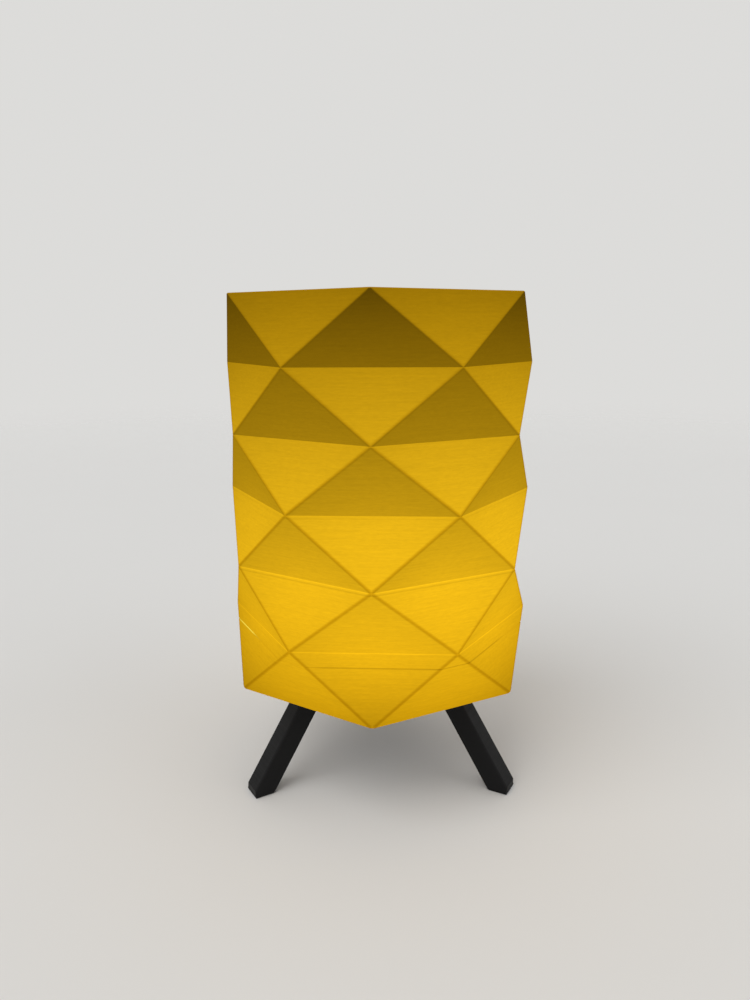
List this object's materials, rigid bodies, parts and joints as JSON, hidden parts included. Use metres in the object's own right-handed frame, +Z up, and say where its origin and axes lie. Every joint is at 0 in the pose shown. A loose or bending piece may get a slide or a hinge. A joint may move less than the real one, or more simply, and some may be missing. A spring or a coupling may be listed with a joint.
{
  "type": "table lamp",
  "caption": "Tealight table lamp: faceted translucent shade that lifts off a shallow tray on splayed tripod legs, with a battery tealight inside.",
  "frame": {"origin": "on the lamp's axis, at the surface that the feet stand on", "axes": "+Z up along the axis of the shade; -Y is the front, where a corner of the shade's lowest ring points"},
  "size_m": [0.12, 0.12, 0.194],
  "materials": {
    "shade_plastic": "amber translucent printed plastic with fine horizontal layer lines, lit from inside",
    "stand_plastic": "black printed plastic, matt",
    "fastener_steel": "zinc-plated steel",
    "cup_plastic": "ivory moulded plastic, satin",
    "flame_plastic": "frosted diffuser, lit from inside",
    "led_resin": "amber resin",
    "cell_steel": "nickel-plated steel",
    "contact_brass": "spring brass",
    "lead_wire": "tinned wire",
    "switch_plastic": "black moulded plastic"
  },
  "bodies": {
    "stand": {"hub": "stand_plastic", "leg_rear": "stand_plastic", "leg_front_left": "stand_plastic", "leg_front_right": "stand_plastic", "clamp_screw": "fastener_steel", "clamp_nut": "fastener_steel", "tray": "shade_plastic"},
    "shade": {"shade": "shade_plastic"},
    "tealight": {"tealight_cup": "cup_plastic", "tealight_base": "cup_plastic", "coin_cell": "cell_steel", "contact_negative": "contact_brass", "contact_positive": "contact_brass", "led_bridge": "cup_plastic", "led": "led_resin", "lead_positive": "lead_wire", "lead_negative": "lead_wire", "flame_lens": "flame_plastic"},
    "battery_cover": {"battery_cover": "cup_plastic"},
    "switch": {"switch_slider": "switch_plastic"}
  },
  "joints": [
    {"name": "shade_lift", "type": "slide", "parent": "stand", "child": "shade", "axis": [0, 0, 1], "range_m": [0, 0.1]},
    {"name": "tealight_lift", "type": "slide", "parent": "stand", "child": "tealight", "axis": [0, 0, 1], "range_m": [0, 0.04]},
    {"name": "battery_cover_turn", "type": "hinge", "parent": "tealight", "child": "battery_cover", "pos_m": [0, 0, 0.0475], "axis": [0, 0, 1], "range_deg": [0, 30]},
    {"name": "switch_slide", "type": "slide", "parent": "tealight", "child": "switch", "axis": [1, 0, 0], "range_m": [0, 0.0026]}
  ]
}
